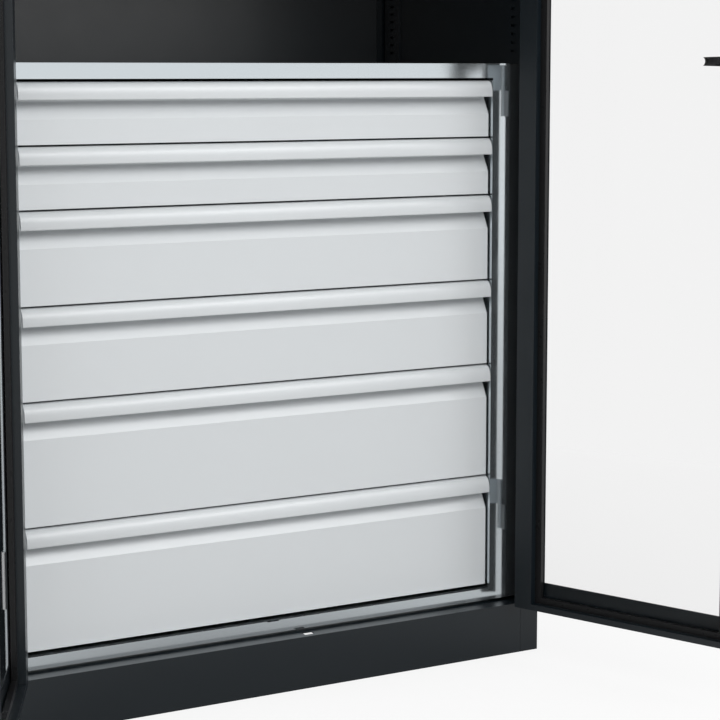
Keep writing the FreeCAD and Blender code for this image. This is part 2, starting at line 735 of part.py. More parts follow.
def build_tray(index):
    """Open tray with folded side rims, a rail on each side, and the sheet that closes the front's back."""
    body = new_piece(f"drawer_tray_{index + 1}")
    foot = f"{pitch_line(index)} + tray_foot"
    rim = f"{pitch_line(index)} + {PITCHES[index]} - tray_head"
    back_end = "tray_front_end + tray_length"
    grow(body, "block", "Z", [rectangle("-tray_half", "tray_front_end", "tray_half", back_end)], foot, rim)
    cut(body, "inside", "Z", [rectangle(
        "-tray_half + tray_gauge",
        "tray_front_end + tray_gauge",
        "tray_half - tray_gauge",
        f"{back_end} - tray_gauge",
    )], f"{foot} + tray_gauge", rim)
    front_foot, front_top = front_levels(index)
    grow(body, "front_backing", "Y", [rectangle("-front_half", front_foot, "front_half", front_top)],
         "tray_front_end", "tray_front_end + tray_gauge")
    level = runner_level(index)
    for side in (LEFT, RIGHT):
        web = "(2 * runner_step)"
        low = f"{level} - {DRAWER_RAIL_HEIGHT} / 2"
        high = f"{level} + {DRAWER_RAIL_HEIGHT} / 2"
        near = f"housing_inside - {web}"
        grow(body, f"rail_{SIDE_NAMES[side]}", "Y", [sided(side, [
            (near, low),
            (near, high),
            ("tray_half", high),
            ("tray_half", f"{high} - runner_gauge"),
            (f"{near} - runner_gauge", f"{high} - runner_gauge"),
            (f"{near} - runner_gauge", f"{low} + runner_gauge"),
            ("tray_half", f"{low} + runner_gauge"),
            ("tray_half", low),
        ])], "runner_front_end", "tray_front_end + tray_length")
        rim_low = f"{rim} - tray_gauge"
        grow(body, f"rim_{SIDE_NAMES[side]}", "Y", [sided(side, rectangle(
            "tray_half - tray_gauge", rim_low, "tray_half + tray_rim", rim,
        ))], "tray_front_end", back_end)


def build_front(index):
    """Drawer front folded from one sheet: flat, slope and upright, with a plate in each end."""
    body = new_piece(f"drawer_front_{index + 1}")
    foot, top = front_levels(index)
    slope_top = f"{top} - recess_level"
    slope_foot = f"{top} - recess_level - recess_height"
    flat = "drawer_setback"
    upright = "drawer_setback + recess_depth"
    tail = "tray_front_end"
    face = [
        (tail, foot),
        (flat, foot),
        (flat, slope_foot),
        (upright, slope_top),
        (upright, top),
        (tail, top),
    ]
    grow(body, "folded_sheet", "X", [face + [
        (tail, f"{top} - front_gauge"),
        (f"{upright} + front_gauge", f"{top} - front_gauge"),
        (f"{upright} + front_gauge", f"{slope_top} - front_gauge / 4"),
        (f"{flat} + front_gauge", f"{slope_foot} - front_gauge / 4"),
        (f"{flat} + front_gauge", f"{foot} + front_gauge"),
        (tail, f"{foot} + front_gauge"),
    ]], "-front_half", "front_half")
    for side in (LEFT, RIGHT):
        low, high = reach(side, "front_half - front_gauge", "front_half")
        grow(body, f"end_{SIDE_NAMES[side]}", "X", [face], low, high)


def build_grip(index):
    """Rolled grip across the whole front: back leg, level top, two-radius roll and rounded lip.

    The roll is two tangent arcs. The inner line is the outer one moved in by the wall.
    """
    body = new_piece(f"drawer_grip_{index + 1}")
    foot, top = front_levels(index)
    rear = "drawer_setback + recess_depth"
    inner_small = "(roll_small - grip_gauge)"
    lip_end = f"{top} - lip_drop - grip_lip"
    grow(body, "profile", "X", [[
        (rear, f"{top} - grip_leg"),
        (rear, top),
        ("roll_start", top, "-roll_small"),
        ("turn_place", f"{top} - turn_drop", "-roll_large"),
        ("lip_place", f"{top} - lip_drop"),
        ("lip_place", lip_end, "-grip_gauge * 0.6"),
        ("lip_place + grip_gauge", lip_end),
        ("lip_place + grip_gauge", f"{top} - lip_drop", "roll_large - grip_gauge"),
        (
            f"roll_start - {inner_small} * sin(grip_turn)",
            f"{top} - roll_small + {inner_small} * cos(grip_turn)",
            inner_small,
        ),
        ("roll_start", f"{top} - grip_gauge"),
        (f"{rear} - front_gauge", f"{top} - grip_gauge"),
        (f"{rear} - front_gauge", f"{top} - grip_leg"),
    ]], "-front_half", "front_half")


# Doors, drawn round the hinge axis: the first number runs from the axis to the free edge

def door_side(side, corners):
    """A door outline on its own side: the right door lies to the left of its hinge axis."""
    return sided(-side, corners)


def door_span(side, near, far):
    return reach(-side, near, far)


def build_door_skin(side):
    """Folded door: face with a window, edges turned back, inner flanges and their hems."""
    body = hang_on_pivot(new_piece(f"door_skin_{SIDE_NAMES[side]}"), side)
    near, far = "door_hinge_edge", "door_free_edge"
    window = rectangle(
        f"{near} + hinge_stile + bead_width",
        "door_bottom + window_border",
        f"{far} - lock_stile - bead_width",
        "door_top - window_border",
    )
    face = rectangle(near, "door_bottom", far, "door_top")
    grow(body, "face", "Y", [door_side(side, face), door_side(side, window)],
         "door_outside", "door_outside + door_gauge")
    for name, edge, sign, width in (("hinge", near, "", "hinge_stile"), ("lock", far, "-", "lock_stile")):
        flange_tip = f"{edge} + {sign}({width})"
        grow(body, f"{name}_stile", "Z", [door_side(side, [
            (edge, "door_outside"),
            (edge, "door_inside"),
            (flange_tip, "door_inside"),
            (flange_tip, "hem_level"),
            (f"{flange_tip} - {sign}(door_gauge)", "hem_level"),
            (f"{flange_tip} - {sign}(door_gauge)", "door_inside - door_gauge"),
            (f"{edge} + {sign}(door_gauge)", "door_inside - door_gauge"),
            (f"{edge} + {sign}(door_gauge)", "door_outside"),
        ])], "door_bottom", "door_top")
    inner_near = f"{near} + hinge_stile"
    inner_far = f"{far} - lock_stile"
    for name, edge, sign in (("bottom", "door_bottom", ""), ("top", "door_top", "-")):
        tip = f"{edge} + {sign}(end_flange)"
        sheet_in = f"{sign}(door_gauge)"
        grow(body, f"{name}_edge", "X", [[
            ("door_outside", edge),
            ("door_inside", edge),
            ("door_inside", f"{edge} + {sheet_in}"),
            ("door_outside", f"{edge} + {sheet_in}"),
        ]], *door_span(side, near, far))
        grow(body, f"{name}_flange", "X", [[
            ("door_inside", edge),
            ("door_inside", tip),
            ("hem_level", tip),
            ("hem_level", f"{tip} - {sheet_in}"),
            ("door_inside - door_gauge", f"{tip} - {sheet_in}"),
            ("door_inside - door_gauge", edge),
        ]], *door_span(side, inner_near, inner_far))
    if side == RIGHT:
        hole = "rod_diameter + 2 * rod_play"
        rod = ("-rod_place", "rod_depth", hole)
        cut_round(body, "rod_hole_bottom", "Z", [rod], "door_bottom", "door_bottom + door_gauge")
        cut_round(body, "rod_hole_top", "Z", [rod], "door_top - door_gauge", "door_top")
        spindle = ("-lock_axis", "lock_level", "spindle_diameter + 2 * rod_play")
        cut_round(body, "spindle_hole", "Y", [spindle], "door_outside", "door_outside + door_gauge")


def build_bead(side):
    """Black glazing bead, tucked under the hems, which holds the pane against the skin."""
    body = hang_on_pivot(new_piece(f"glazing_bead_{SIDE_NAMES[side]}"), side)
    near = "door_hinge_edge + hinge_stile"
    far = "door_free_edge - lock_stile"
    low = "door_bottom + end_flange"
    high = "door_top - end_flange"
    tuck = "door_gauge"
    grow(body, "ring", "Y", [
        door_side(side, rectangle(
            f"{near} - {tuck}",
            f"{low} - {tuck}",
            f"{far} + {tuck}",
            f"{high} + {tuck}",
        )),
        door_side(side, rectangle(
            f"{near} + bead_width",
            f"{low} + bead_end_width",
            f"{far} - bead_width",
            f"{high} - bead_end_width",
        )),
    ], "door_outside + door_gauge + pane_gauge", "hem_level")


def build_pane(side):
    body = hang_on_pivot(new_piece(f"pane_{SIDE_NAMES[side]}"), side)
    grow(body, "sheet", "Y", [door_side(side, rectangle(
        "door_hinge_edge + hinge_stile + pane_play",
        "door_bottom + end_flange + pane_play",
        "door_free_edge - lock_stile - pane_play",
        "door_top - end_flange - pane_play",
    ))], "door_outside + door_gauge", "door_outside + door_gauge + pane_gauge")


def build_meeting_strip():
    """Strip on the right door that laps over the left one."""
    body = hang_on_pivot(new_piece("meeting_strip"), RIGHT)
    face = "door_outside"
    edge = "door_free_edge"
    grow(body, "strip", "Z", [door_side(RIGHT, [
        (f"{edge} - meeting_cover", face),
        (f"{edge} - meeting_cover", f"{face} - door_gauge"),
        (f"{edge} - meeting_play", f"{face} - door_gauge"),
        (f"{edge} - meeting_play", f"{face} - door_gauge - meeting_play"),
        (f"{edge} + meeting_cover", f"{face} - door_gauge - meeting_play"),
        (f"{edge} + meeting_cover", f"{face} - meeting_play"),
        (edge, f"{face} - meeting_play"),
        (edge, face),
    ])], "door_bottom", "door_top")


# Hinges: three to a door, lower half on the post and upper half on the door

HINGE_MIDDLES = [
    "(door_bottom + hinge_inset)",
    "((door_bottom + door_top) / 2)",
    "(door_top - hinge_inset)",
]


def build_hinge_half(body, name, axis_place, leaf, low, high):
    """Barrel and leaf of half a hinge."""
    bore = "pin_diameter + 2 * pin_clearance"
    rings = [(*axis_place, "knuckle_diameter"), (*axis_place, bore)]
    grow_round(body, f"barrel_{name}", "Z", rings, low, high)
    grow(body, f"leaf_{name}", "Z", [leaf], low, high)


def build_hinge_halves():
    """Upper halves on the doors' edges, and lower halves on the returns of the posts."""
    leaf_start = "pin_diameter / 2 + pin_clearance"
    for side in (LEFT, RIGHT):
        door_half = hang_on_pivot(new_piece(f"hinge_door_{SIDE_NAMES[side]}", several=True), side)
        leaf = door_side(side, rectangle(
            "door_hinge_edge - leaf_gauge", leaf_start, "door_hinge_edge", "leaf_door_reach",
        ))
        for place, middle in enumerate(HINGE_MIDDLES, start=1):
            low = f"{middle} + hinge_play / 2"
            build_hinge_half(door_half, f"{place}", ("0", "0"), leaf, low, f"{middle} + hinge_height / 2")
    post_halves = new_piece("hinge_posts", several=True)
    for side in (LEFT, RIGHT):
        axis_place = (f"{side} * pivot_place", "-pivot_forward")
        leaf = sided(side, rectangle(
            "post_inside - leaf_gauge", f"{leaf_start} - pivot_forward", "post_inside", "leaf_post_reach",
        ))
        for place, middle in enumerate(HINGE_MIDDLES, start=1):
            name = f"{SIDE_NAMES[side]}_{place}"
            low = f"{middle} - hinge_height / 2"
            build_hinge_half(post_halves, name, axis_place, leaf, low, f"{middle} - hinge_play / 2")


def build_hinge_pins():
    """Six pins, each as long as its hinge."""
    body = new_piece("hinge_pins", several=True)
    for side in (LEFT, RIGHT):
        for number_up, middle in enumerate(HINGE_MIDDLES, start=1):
            grow_round(body, f"pin_{SIDE_NAMES[side]}_{number_up}", "Z",
                       [(f"{side} * pivot_place", "-pivot_forward", "pin_diameter")],
                       f"{middle} - hinge_height / 2", f"{middle} + hinge_height / 2")


# Lock of the right door

def build_lock_case():
    """Case inside the lock stile, with sockets for the rods and a bore for the spindle."""
    body = hang_on_pivot(new_piece("lock_case"), RIGHT)
    base = "door_outside + door_gauge"
    near = "(rod_place - rod_diameter / 2 - lock_wall)"
    low = "lock_case_low"
    high = "lock_case_high"
    grow(body, "block", "Y", [door_side(RIGHT, rectangle(near, low, f"{near} + lock_width", high))],
         base, "rod_depth + rod_diameter / 2 + lock_wall")
    socket = [("-rod_place", "rod_depth", "rod_diameter + 2 * rod_play")]
    cut_round(body, "lower_socket", "Z", socket, low, f"{low} + 1.5 * rod_travel")
    cut_round(body, "upper_socket", "Z", socket, f"{high} - 1.5 * rod_travel", high)
    bore = ("-lock_axis", "lock_level", "spindle_diameter + 2 * spindle_play")
    cut_round(body, "spindle_bore", "Y", [bore], base, "rod_depth + rod_diameter / 2 + lock_wall")


def build_rod(name, low, high):
    body = hang_on_pivot(new_piece(name), RIGHT)
    grow_round(body, "rod", "Z", [("-rod_place", "rod_depth", "rod_diameter")], low, high)


def build_rod_guides():
    """Four brackets that hold the rods on the door's face."""
    body = hang_on_pivot(new_piece("rod_guides", several=True), RIGHT)
    face = "door_outside + door_gauge"
    crown = "rod_depth + rod_diameter / 2 + lock_wall"
    levels = (
        "(door_bottom + window_border)",
        "((door_bottom + window_border + lock_case_low) / 2)",
        "((door_top - window_border + lock_case_high) / 2)",
        "(door_top - window_border)",
    )
    for number_up, level in enumerate(levels, start=1):
        low = f"{level} - guide_length / 2"
        high = f"{level} + guide_length / 2"
        grow(body, f"bracket_{number_up}", "Z", [door_side(RIGHT, rectangle(
            "rod_place - guide_width / 2", face, "rod_place + guide_width / 2", crown,
        ))], low, high)
        bore = ("-rod_place", "rod_depth", "rod_diameter + 2 * rod_play")
        cut_round(body, f"bore_{number_up}", "Z", [bore], low, high)


def build_handle():
    """Lever with its boss and spindle. At rest it lies level and the rods are drawn back."""
    body = hang_on_pivot(new_piece("lock_handle"), RIGHT)
    back = "door_outside - handle_stand"
    front = f"({back} - handle_gauge)"
    tip = "lock_axis - handle_length"
    grow(body, "lever", "Y", [door_side(RIGHT, [
        ("lock_axis", "lock_level - handle_width / 2"),
        ("lock_axis", "lock_level + handle_width / 2"),
        (tip, "lock_level + handle_tip_width / 2", "-handle_tip_width * 0.6"),
        (tip, "lock_level - handle_tip_width / 2"),
    ])], front, back)
    grow_round(body, "boss", "Y", [("-lock_axis", "lock_level", "boss_diameter")],
               front, "door_outside - spindle_play")
    grow_round(body, "spindle", "Y", [("-lock_axis", "lock_level", "spindle_diameter")],
               front, "rod_depth + rod_diameter / 2 + lock_wall")


def build_all():
    for side in (LEFT, RIGHT):
        build_side(side)
    build_back()
    build_top()
    build_floor()
    build_floor_bearer()
    build_shelf_rails()
    build_shelf("shelf_lower", "shelf_lower_slot")
    build_shelf("shelf_upper", "shelf_upper_slot")
    build_clips()
    for side in (LEFT, RIGHT):
        build_housing_side(side)
        build_filler(side)
        build_fixed_runners(side)
    build_housing_cover()
    build_housing_floor()
    build_rails()
    for index in range(len(PITCHES)):
        build_tray(index)
        build_front(index)
        build_grip(index)
        build_middle_runners(index)
    for side in (LEFT, RIGHT):
        build_door_skin(side)
        build_bead(side)
        build_pane(side)
    build_hinge_halves()
    build_hinge_pins()
    build_meeting_strip()
    build_lock_case()
    build_rod("lock_rod_lower", "door_bottom + rod_hide", "lock_case_low + rod_travel + rod_hide")
    build_rod("lock_rod_upper", "lock_case_high - rod_travel - rod_hide", "door_top - rod_hide")
    build_rod_guides()
    build_handle()


def write_pieces():
    """Check every object, then write each piece to its own file."""
    doc.recompute()
    for thing in doc.Objects:
        if "Invalid" in thing.State or "Error" in thing.State:
            raise RuntimeError(f"{thing.FullName} did not build: {thing.State} {thing.getStatusString()}")
    for body in pieces:
        if body.Shape.isNull() or not body.Shape.isValid():
            raise RuntimeError(f"{body.Label} has no sound shape")
    os.makedirs("parts", exist_ok=True)
    for body in pieces:
        body.Shape.exportStep(f"parts/{body.Label}.step")


build_all()
write_pieces()
print(f"{len(pieces)} pieces")
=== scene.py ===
import bpy
import bmesh
import math
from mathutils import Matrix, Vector
from bpy.props import FloatProperty, FloatVectorProperty, IntProperty, PointerProperty


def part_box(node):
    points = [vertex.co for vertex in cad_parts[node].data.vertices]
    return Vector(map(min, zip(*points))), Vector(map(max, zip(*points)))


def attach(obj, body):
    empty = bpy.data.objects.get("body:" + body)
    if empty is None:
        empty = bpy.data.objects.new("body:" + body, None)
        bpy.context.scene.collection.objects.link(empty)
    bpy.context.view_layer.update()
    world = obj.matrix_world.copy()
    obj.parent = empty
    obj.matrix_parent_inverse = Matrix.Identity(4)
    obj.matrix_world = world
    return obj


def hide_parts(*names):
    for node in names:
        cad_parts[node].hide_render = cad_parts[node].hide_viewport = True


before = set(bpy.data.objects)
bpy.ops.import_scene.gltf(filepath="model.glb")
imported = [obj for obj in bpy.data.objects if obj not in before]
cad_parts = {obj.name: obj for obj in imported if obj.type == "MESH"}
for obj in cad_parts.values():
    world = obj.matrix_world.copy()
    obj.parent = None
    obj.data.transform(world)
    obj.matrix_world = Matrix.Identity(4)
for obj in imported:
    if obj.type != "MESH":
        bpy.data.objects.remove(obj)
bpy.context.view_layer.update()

bl_info = {
    "name": "Window-door tool cabinet",
    "version": (1, 0, 0),
    "blender": (4, 5, 0),
    "location": "3D View > Sidebar > Tool Cabinet",
    "description": "Dresses the steel cabinet, its doors and its drawers, and sets the studio",
    "category": "Object",
}

DRAWERS = range(1, 7)
SIDES = ("left", "right")

# Edges: shading turns sharp over these angles, in degrees, and roundings are in metres
SHADE_LIMIT = 34
SLOPE_SHADE_LIMIT = 20
BEVEL_MARGIN = 1
BEVEL_SEGMENTS = 2
RUNNER_EDGE = 0.0002
LOCK_EDGE = 0.0003
MOULDED_EDGE = 0.0022

# Finishes
FRONT_GRAIN = 1100.0
GRIP_GRAIN_DEPTH = 0.015
WALL_ROUGHER = 0.1
WALL_GLOSSIER = 2
INNER_ROUGHER = 0.08
RUNNER_ROUGHNESS = 0.34
LOCK_ROUGHNESS = 0.3
BEAD_ROUGHNESS = 0.3
HANDLE_ROUGHNESS = 0.42

# Grips: the leg's sheet in metres, and the faces round the lip's end
LEG_GAUGE = 0.0015
LIP_STEPS = 6

# Floor: each pair of shares is reached at the pair of distances from its middle, in metres. The two mirrored
# pairs set the grey glow that mirrors see in place of the floor. This glow is a painted reflection: it is
# darkest near the cabinet as painted shade and brighter further away.
FLOOR_RADIUS = 40.0
FLOOR_SEGMENTS = 96
FLOOR_SEEN_WHITE = {"low": 0.84, "high": 1.0, "start": 0.7, "end": 2.0}
FLOOR_PAINTED_REFLECTION_NEAR = {"low": 0.36, "high": 0.64, "start": 0.5, "end": 0.75}
FLOOR_PAINTED_REFLECTION_FAR = {"low": 0.0, "high": 0.36, "start": 1.5, "end": 9.0}

# Lamp, in metres, and the light panel: axis of the direction, where it starts and ends, and its share there
LAMP_SIZE = (5.2, 1.7)
LAMP_PLACE = (1.3, -3.6, 2.8)
LAMP_AIM = (0.0, -0.2, 0.7)
LIGHT_PANEL = (
    ("Z", 0.42, 0.54, 0.0, 1.0),
    ("Z", 0.66, 0.76, 1.0, 0.0),
    ("Y", -0.45, -0.25, 1.0, 0.0),
)


# Sizes and colours that can be changed

class CabinetFinish(bpy.types.PropertyGroup):
    """Colours and surface qualities of the cabinet."""
    carcass_colour: FloatVectorProperty(
        name="Carcass", description="Dark powder coat of carcass and doors",
        default=(0.0046, 0.0082, 0.0112), size=3, subtype="COLOR", min=0, max=1)
    carcass_roughness: FloatProperty(
        name="Carcass roughness", description="Roughness of the dark powder coat",
        default=0.3, subtype="FACTOR", min=0, max=1)
    carcass_gloss: FloatProperty(
        name="Carcass gloss", description="How strongly the dark powder coat mirrors",
        default=0.5, subtype="FACTOR", min=0, max=1)
    front_colour: FloatVectorProperty(
        name="Drawer fronts", description="Light powder coat of the drawer fronts",
        default=(0.600, 0.625, 0.640), size=3, subtype="COLOR", min=0, max=1)
    front_roughness: FloatProperty(
        name="Front roughness", description="Roughness of the light powder coat",
        default=0.32, subtype="FACTOR", min=0, max=1)
    front_gloss: FloatProperty(
        name="Front gloss", description="How strongly the light powder coat mirrors",
        default=0.9, subtype="FACTOR", min=0, max=1)
    housing_colour: FloatVectorProperty(
        name="Housing", description="Bright zinc of the rails, the fillers and the housing's sides and floor",
        default=(0.610, 0.660, 0.690), size=3, subtype="COLOR", min=0, max=1)
    housing_roughness: FloatProperty(
        name="Housing roughness", description="Roughness of the bright zinc",
        default=0.11, subtype="FACTOR", min=0, max=1)
    tray_colour: FloatVectorProperty(
        name="Trays", description="Light powder coat of the trays and of the housing's cover",
        default=(0.500, 0.520, 0.530), size=3, subtype="COLOR", min=0, max=1)
    runner_colour: FloatVectorProperty(
        name="Runners", description="Zinc plating of runners, hinges, clips and lock",
        default=(0.560, 0.570, 0.580), size=3, subtype="COLOR", min=0, max=1)
    bead_colour: FloatVectorProperty(
        name="Glazing bead", description="Black moulded bead round the panes",
        default=(0.0080, 0.0082, 0.0088), size=3, subtype="COLOR", min=0, max=1)
    pane_colour: FloatVectorProperty(
        name="Pane", description="Tint of the clear panes",
        default=(0.022, 0.024, 0.025), size=3, subtype="COLOR", min=0, max=1)
    pane_cover: FloatProperty(
        name="Pane cover", description="How much of the tint covers what is behind a pane",
        default=0.06, subtype="FACTOR", min=0, max=1)
    handle_colour: FloatVectorProperty(
        name="Handle", description="Black plastic of the handle",
        default=(0.0120, 0.0120, 0.0125), size=3, subtype="COLOR", min=0, max=1)
    edge_radius: FloatProperty(
        name="Edge radius", description="Rounding of the sheet edges",
        default=0.00035, subtype="DISTANCE", unit="LENGTH", min=0, max=0.002)


class GripShape(bpy.types.PropertyGroup):
    """The rolled grip along the top of each drawer front."""
    wall: FloatProperty(
        name="Wall", description="Wall of the profile",
        default=0.0024, subtype="DISTANCE", unit="LENGTH", min=0.0005, max=0.006)
    small_roll: FloatProperty(
        name="Upper roll", description="Outer radius at the top",
        default=0.010, subtype="DISTANCE", unit="LENGTH", min=0.003, max=0.02)
    large_roll: FloatProperty(
        name="Lower roll", description="Outer radius down the front",
        default=0.025, subtype="DISTANCE", unit="LENGTH", min=0.01, max=0.06)
    turn: FloatProperty(
        name="Turn", description="How far the upper roll bends before the lower one starts",
        default=math.radians(50), subtype="ANGLE", unit="ROTATION", min=0.2, max=1.5)
    steps: IntProperty(
        name="Steps", description="Faces along each roll", default=14, min=4, max=48)


class StudioSetting(bpy.types.PropertyGroup):
    """Camera and light."""
    lens: FloatProperty(
        name="Lens", description="Focal length", default=95.3, subtype="DISTANCE_CAMERA",
        unit="CAMERA", min=20, max=300)
    camera_place: FloatVectorProperty(
        name="Camera place", description="Where the camera stands",
        default=(-1.3671, -3.0592, 1.0354), size=3, subtype="TRANSLATION", unit="LENGTH")
    camera_yaw: FloatProperty(
        name="Yaw", description="Turn of the camera to the right", default=math.radians(28.61),
        subtype="ANGLE", unit="ROTATION")
    camera_pitch: FloatProperty(
        name="Pitch", description="Tilt of the camera down", default=math.radians(6.51),
        subtype="ANGLE", unit="ROTATION")
    camera_rise: FloatProperty(
        name="Lens shift", description="Upright shift of the lens", default=-0.10, min=-0.5, max=0.5)
    sky_strength: FloatProperty(
        name="Room light", description="Light from all round", default=0.66, min=0, max=3)
    panel_strength: FloatProperty(
        name="Light panel", description="How bright a mirror sees the light panel over the front",
        default=4.2, min=1, max=10)
    lamp_strength: FloatProperty(
        name="Soft lamp", description="Power of the large lamp in front", default=112,
        unit="POWER", min=0, max=1000)


# Materials

class Surface:
    """A material that is built step by step round one shader."""

    def __init__(self, name, colour, roughness, metallic=0.0):
        self.material = bpy.data.materials.new(name)
        self.material.use_nodes = True
        self.material.diffuse_color = (*colour, 1.0)
        self.nodes = self.material.node_tree.nodes
        self.links = self.material.node_tree.links
        self.shader = self.nodes["Principled BSDF"]
        self.colour = colour
        self.set("Base Color", (*colour, 1.0))
        self.set("Roughness", roughness)
        self.set("Metallic", metallic)
        self.place = self.nodes.new("ShaderNodeTexCoord").outputs["Object"]

    def set(self, socket, value):
        self.shader.inputs[socket].default_value = value

    def noise(self, scale, detail=3.0, rough=0.5, stretch=None):
        texture = self.nodes.new("ShaderNodeTexNoise")
        texture.inputs["Scale"].default_value = scale
        texture.inputs["Detail"].default_value = detail
        texture.inputs["Roughness"].default_value = rough
        place = self.place
        if stretch:
            mapping = self.nodes.new("ShaderNodeMapping")
            mapping.inputs["Scale"].default_value = stretch
            self.links.new(self.place, mapping.inputs["Vector"])
            place = mapping.outputs["Vector"]
        self.links.new(place, texture.inputs["Vector"])
        return texture.outputs["Fac"]

    def spread(self, value, low, high, start=0.3, end=0.7):
        """Spread a noise value over a range."""
        node = self.nodes.new("ShaderNodeMapRange")
        node.inputs["From Min"].default_value = start
        node.inputs["From Max"].default_value = end
        node.inputs["To Min"].default_value = low
        node.inputs["To Max"].default_value = high
        self.links.new(value, node.inputs["Value"])
        return node.outputs["Result"]

    def vary_colour(self, value, amount):
        """Let the colour wander between a darker and a lighter tone."""
        mix = self.nodes.new("ShaderNodeMix")
        mix.data_type = "RGBA"
        dark = [max(0.0, part * (1 - amount)) for part in self.colour]
        light = [min(1.0, part * (1 + amount)) for part in self.colour]
        for socket, colour in zip([s for s in mix.inputs if s.type == "RGBA"], (dark, light)):
            socket.default_value = (*colour, 1.0)
        self.links.new(value, mix.inputs["Factor"])
        result = next(s for s in mix.outputs if s.type == "RGBA")
        self.links.new(result, self.shader.inputs["Base Color"])

    def vary_roughness(self, value, low, high):
        self.links.new(self.spread(value, low, high), self.shader.inputs["Roughness"])

    def relief(self, value, strength, distance):
        bump = self.nodes.new("ShaderNodeBump")
        bump.inputs["Strength"].default_value = strength
        bump.inputs["Distance"].default_value = distance
        self.links.new(value, bump.inputs["Height"])
        self.links.new(bump.outputs["Normal"], self.shader.inputs["Normal"])


def powder_coat(name, colour, roughness, grain=900.0, gloss=0.5, grain_depth=0.05):
    """Powder coat: an even colour with a fine orange-peel skin."""
    surface = Surface(name, colour, roughness)
    surface.set("Specular IOR Level", gloss)
    surface.vary_colour(surface.noise(scale=6.0, detail=4.0), amount=0.012)
    surface.vary_roughness(surface.noise(scale=24.0, detail=2.0), roughness - 0.012, roughness + 0.012)
    surface.relief(surface.noise(scale=grain, detail=2.0), strength=grain_depth, distance=0.0002)
    return surface.material


def inner_coat(name, finish):
    """The duller light powder coat of what lies behind the drawer fronts."""
    return powder_coat(name, tuple(finish.tray_colour), finish.front_roughness + INNER_ROUGHER)


def bright_zinc(name, colour, roughness):
    """Rolled sheet with bright zinc: a mirror-like face with a faint cloud in it."""
    surface = Surface(name, colour, roughness, metallic=0.94)
    surface.vary_colour(surface.noise(scale=14.0, detail=5.0, stretch=(0.4, 1.0, 1.0)), amount=0.02)
    surface.vary_roughness(surface.noise(scale=30.0, detail=3.0), roughness - 0.02, roughness + 0.02)
    surface.relief(surface.noise(scale=500.0, detail=2.0), strength=0.006, distance=0.0001)
    return surface.material


def plated_steel(name, colour, roughness):
    """Drawn, zinc-plated steel: fine lines along its length."""
    surface = Surface(name, colour, roughness, metallic=1.0)
    surface.vary_colour(surface.noise(scale=30.0, detail=5.0), amount=0.08)
    lines = surface.noise(scale=900.0, detail=2.0, stretch=(1.0, 0.02, 1.0))
    surface.vary_roughness(lines, roughness - 0.06, roughness + 0.08)
    surface.relief(lines, strength=0.05, distance=0.0002)
    return surface.material


def moulded_plastic(name, colour, roughness):
    """Moulded plastic with a fine spark-eroded grain."""
    surface = Surface(name, colour, roughness)
    surface.set("Specular IOR Level", 0.25)
    surface.vary_colour(surface.noise(scale=20.0, detail=3.0), amount=0.06)
    surface.vary_roughness(surface.noise(scale=60.0, detail=2.0), roughness - 0.03, roughness + 0.03)
    surface.relief(surface.noise(scale=2200.0, detail=2.0), strength=0.02, distance=0.0001)
    return surface.material


def clear_sheet(name, colour, cover, roughness=0.03):
    """Clear sheet: a thin tint over what is behind it, and a gloss."""
    surface = Surface(name, colour, roughness)
    surface.set("Alpha", cover)
    surface.set("IOR", 1.49)
    surface.vary_roughness(surface.noise(scale=3.0, detail=2.0), roughness - 0.01, roughness + 0.02)
    return surface.material


def wear(node_name, material):
    """Give a CAD node its finish."""
    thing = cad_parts[node_name]
    if not thing.material_slots:
        raise RuntimeError(f"{node_name} has no material slot")
    for slot in thing.material_slots:
        slot.link = "OBJECT"
        slot.material = material
    return thing


def smooth_by_angle(limit):
    """Node group that rounds the shading of edges under the limit, in degrees, and keeps sharp ones."""
    name = f"Shade edges under {limit} degrees"
    if name in bpy.data.node_groups:
        return bpy.data.node_groups[name]
    group = bpy.data.node_groups.new(name, "GeometryNodeTree")
    group.interface.new_socket("Geometry", in_out="INPUT", socket_type="NodeSocketGeometry")
    group.interface.new_socket("Geometry", in_out="OUTPUT", socket_type="NodeSocketGeometry")
    start = group.nodes.new("NodeGroupInput")
    end = group.nodes.new("NodeGroupOutput")
    angle = group.nodes.new("GeometryNodeInputMeshEdgeAngle")
    small = group.nodes.new("FunctionNodeCompare")
    small.operation = "LESS_THAN"
    small.inputs["B"].default_value = math.radians(limit)
    faces = group.nodes.new("GeometryNodeSetShadeSmooth")
    faces.domain = "FACE"
    edges = group.nodes.new("GeometryNodeSetShadeSmooth")
    edges.domain = "EDGE"
    group.links.new(angle.outputs["Unsigned Angle"], small.inputs["A"])
    group.links.new(start.outputs[0], faces.inputs["Geometry"])
    group.links.new(faces.outputs["Geometry"], edges.inputs["Geometry"])
    group.links.new(small.outputs["Result"], edges.inputs["Shade Smooth"])
    group.links.new(edges.outputs["Geometry"], end.inputs[0])
    return group


def soften(thing, radius, limit=SHADE_LIMIT):
    """Round the sheet's edges a little, so that they catch the light."""
    if radius > 0:
        bevel = thing.modifiers.new("Edge", "BEVEL")
        bevel.width = radius
        bevel.segments = BEVEL_SEGMENTS
        bevel.limit_method = "ANGLE"
        bevel.angle_limit = math.radians(limit + BEVEL_MARGIN)
    shade = thing.modifiers.new("Shading", "NODES")
    shade.node_group = smooth_by_angle(limit)


def dress(names, material, radius, limit=SHADE_LIMIT):
    """Give CAD nodes their finish, and round their edges."""
    for name in names:
        soften(wear(name, material), radius, limit)


def new_mesh_piece(name, mesh_maker, material, body, slot, *stands_for):
    """A piece built in mesh code that rides on a body."""
    mesh = bpy.data.meshes.new(name)
    shape = bmesh.new()
    mesh_maker(shape)
    bmesh.ops.recalc_face_normals(shape, faces=shape.faces)
    shape.to_mesh(mesh)
    shape.free()
    piece = bpy.data.objects.new(name, mesh)
    bpy.context.scene.collection.objects.link(piece)
    mesh.materials.append(material)
    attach(piece, body)
    if stands_for:
        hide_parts(*stands_for)
    return piece


